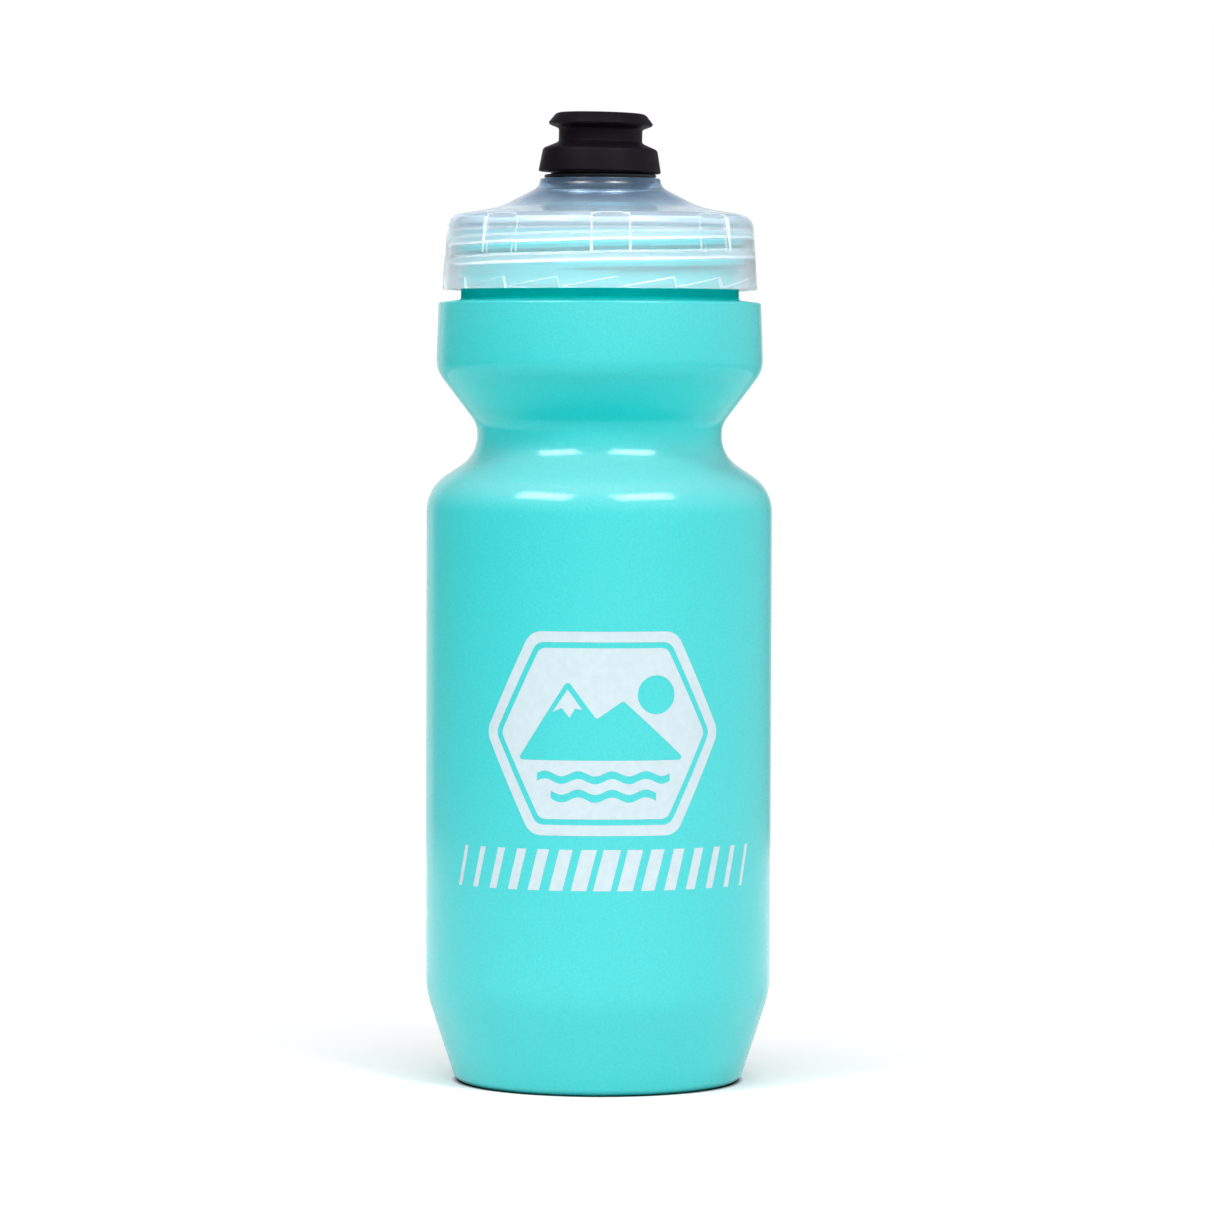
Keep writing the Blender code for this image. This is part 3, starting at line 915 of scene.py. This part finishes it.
def direction(azimuth, elevation=0.0):
    """The way out from the bottle. Azimuth is from the front to the right."""
    a, e = math.radians(azimuth), math.radians(elevation)
    return Vector((math.sin(a) * math.cos(e), -math.cos(a) * math.cos(e), math.sin(e)))


def soft_sun(name, azimuth, elevation, angle, strength):
    """A wide, far-off light that casts shadows and doesn't show in reflections."""
    away = direction(azimuth, elevation)
    data = bpy.data.lights.new(name, "SUN")
    data.angle = math.radians(angle)
    data.energy = strength
    thing = bpy.data.objects.new(name, data)
    bpy.context.scene.collection.objects.link(thing)
    thing.location = away
    thing.rotation_euler = (-away).to_track_quat("-Z", "Y").to_euler()
    thing.visible_glossy = False


def softbox(name, azimuth, elevation, width, height, brightness):
    """A lit panel that shows only in reflections.

    Its width and height are angles as seen from the bottle."""
    distance, aim_height = 1.5, 0.13
    away = direction(azimuth, elevation)
    data = bpy.data.lights.new(name, "AREA")
    data.shape = "RECTANGLE"
    data.size = 2 * distance * math.tan(math.radians(width) / 2)
    data.size_y = 2 * distance * math.tan(math.radians(height) / 2)
    data.energy = brightness * math.pi * data.size * data.size_y
    thing = bpy.data.objects.new(name, data)
    bpy.context.scene.collection.objects.link(thing)
    thing.location = away * distance + Vector((0, 0, aim_height))
    thing.rotation_euler = (-away).to_track_quat("-Z", "Y").to_euler()
    thing.visible_diffuse = False
    thing.visible_transmission = False
    thing.visible_camera = False


def mapped(tree, value, start, end, low_result, high_result):
    """Carries a value from one range to another, smoothly at both ends."""
    node = tree.nodes.new("ShaderNodeMapRange")
    node.interpolation_type = "SMOOTHSTEP"
    inputs = node.inputs
    tree.links.new(value, inputs["Value"])
    inputs["From Min"].default_value = start
    inputs["From Max"].default_value = end
    for socket, result in (("To Min", low_result), ("To Max", high_result)):
        if isinstance(result, bpy.types.NodeSocket):
            tree.links.new(result, inputs[socket])
        else:
            inputs[socket].default_value = result
    return node.outputs["Result"]


def white_world(left, right, right_azimuth, backdrop_azimuth, sky, top, below):
    """White to the camera, and a studio as a light.

    It has a white backdrop behind, walls that go from the left's brightness to the right's, a dimmer
    sky above them, and its own brightness overhead and below."""
    world = bpy.data.worlds.new("studio")
    bpy.context.scene.world = world
    world.use_nodes = True
    tree = world.node_tree
    place = tree.nodes.new("ShaderNodeTexCoord").outputs["Generated"]

    def towards(azimuth):
        node = tree.nodes.new("ShaderNodeVectorMath")
        node.operation = "DOT_PRODUCT"
        node.inputs[1].default_value = direction(azimuth)
        tree.links.new(place, node.inputs[0])
        return node.outputs["Value"]

    split = tree.nodes.new("ShaderNodeSeparateXYZ")
    tree.links.new(place, split.inputs[0])
    up = split.outputs["Z"]
    walls = mapped(tree, towards(right_azimuth), -0.6, 1, left, right)
    walls = mapped(tree, towards(backdrop_azimuth), 0.83, 0.97, walls, 1.0)
    walls = mapped(tree, up, -0.25, -0.12, below, walls)
    over = mapped(tree, up, math.sin(math.radians(20)), math.sin(math.radians(40)), walls, sky)
    cast = mapped(tree, up, math.sin(math.radians(55)), math.sin(math.radians(70)), over, top)
    seen = tree.nodes.new("ShaderNodeLightPath").outputs["Is Camera Ray"]
    shown = mapped(tree, seen, 0, 1, cast, 1.0)
    background = tree.nodes["Background"]
    background.inputs["Color"].default_value = (1, 1, 1, 1)
    tree.links.new(shown, background.inputs["Strength"])


def floor():
    """A white disc. It ends where the white surroundings take over without an edge that shows."""
    mesh = bpy.data.meshes.new("floor")
    form = bmesh.new()
    bmesh.ops.create_circle(form, cap_ends=True, segments=96, radius=FLOOR_R)
    form.to_mesh(mesh)
    form.free()
    mesh.materials.append(floor_paper())
    thing = bpy.data.objects.new("floor", mesh)
    bpy.context.scene.collection.objects.link(thing)


def main():
    bpy.context.scene.view_settings.view_transform = "Standard"
    camera()
    white_world(
        left=0.25, right=1.35, right_azimuth=45, backdrop_azimuth=-170, sky=0.3, top=0.6, below=0.3
    )
    floor()
    soft_sun("key_right", azimuth=34, elevation=46, angle=12, strength=1.45)
    soft_sun("key_left", azimuth=-44, elevation=46, angle=12, strength=1.2)
    soft_sun("overhead", azimuth=0, elevation=70, angle=50, strength=1.5)
    soft_sun("fill_left", azimuth=-75, elevation=25, angle=70, strength=0.7)
    softbox("softbox_right", azimuth=37, elevation=46, width=34, height=16, brightness=15)
    softbox("softbox_left", azimuth=-46, elevation=46, width=32, height=16, brightness=14)

    black_plastic = valve_plastic()
    seal = seal_rubber()
    ring = o_ring_rubber()
    satin = bottle_plastic("bottle_plastic", gloss=0.2)
    shell = placed(bottle(), satin, "bottle_plastic", "bottle", "bottle_body")
    # A copy with no gloss for the gap below the cap, as painted shade.
    shell.data.materials.append(bottle_plastic("bottle_plastic_painted_shade", gloss=0.0))
    ink = print_ink()
    badge = printed("printed_badge", badge_loops(), math.radians(1.7), 75.6)
    placed(badge, ink, "bottle_plastic", "bottle")
    stripes = printed("printed_stripes", stripe_loops(), math.radians(2.9), 47.5)
    placed(stripes, ink, "bottle_plastic", "bottle")
    cap_piece = placed(cap(), cap_plastic(), "cap_plastic", "cap", "cap_shell")
    cap_piece.data.materials.append(milky_cap_plastic("cap_plastic_thick", (0.68, 0.79, 0.83), 0.58))
    # The whiter copy on the flutes' edges is a painted highlight.
    cap_piece.data.materials.append(milky_cap_plastic("cap_plastic_painted_highlight", (0.92, 0.95, 0.97), 0.6))
    cap_piece.visible_shadow = False  # light goes through the cap to the neck
    placed(sealing_ring(), seal, "seal_rubber", "seal", "cap_gasket")
    seat, post = valve_seat()
    placed(seat, black_plastic, "valve_plastic", "valve", "valve_seat")
    placed(post, black_plastic, "valve_plastic", "valve")
    placed(seat_spokes(), black_plastic, "valve_plastic", "valve")
    placed(o_ring("seat_seal", "seat_o_ring", 10.85), ring, "o_ring_rubber", "valve", "seat_o_ring")
    placed(slider(), black_plastic, "valve_plastic", "nozzle", "nozzle_slider")
    placed(
        o_ring("slider_seal", "slider_o_ring", 8.65), ring, "o_ring_rubber", "nozzle", "slider_o_ring"
    )
    placed(mouthpiece(), mouthpiece_rubber(), "mouthpiece_rubber", "nozzle", "mouthpiece")


main()
